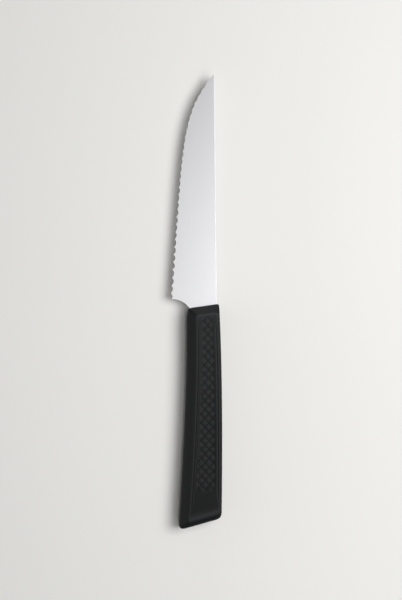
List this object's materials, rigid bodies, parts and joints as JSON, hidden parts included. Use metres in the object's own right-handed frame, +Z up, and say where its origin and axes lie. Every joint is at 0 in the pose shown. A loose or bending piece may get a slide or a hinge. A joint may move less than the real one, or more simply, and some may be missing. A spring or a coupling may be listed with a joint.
{
  "type": "steak knife",
  "caption": "Steak knife with a straight spine, a pointed tip, a scalloped cutting edge and a moulded black handle with diamond grip panels.",
  "frame": {"origin": "middle of the knife's box seen from above, on the surface that the knife lies on", "axes": "+Y along the knife to the tip, +X to the spine, +Z up through the handle's thickness, with the knife lying on one side of its handle and the ground side of its edge down"},
  "size_m": [0.025, 0.2256, 0.013],
  "materials": {
    "blade": "satin",
    "handle": "fine moulded grain"
  },
  "bodies": {
    "root": {"blade": "blade", "handle": "handle"}
  },
  "joints": []
}
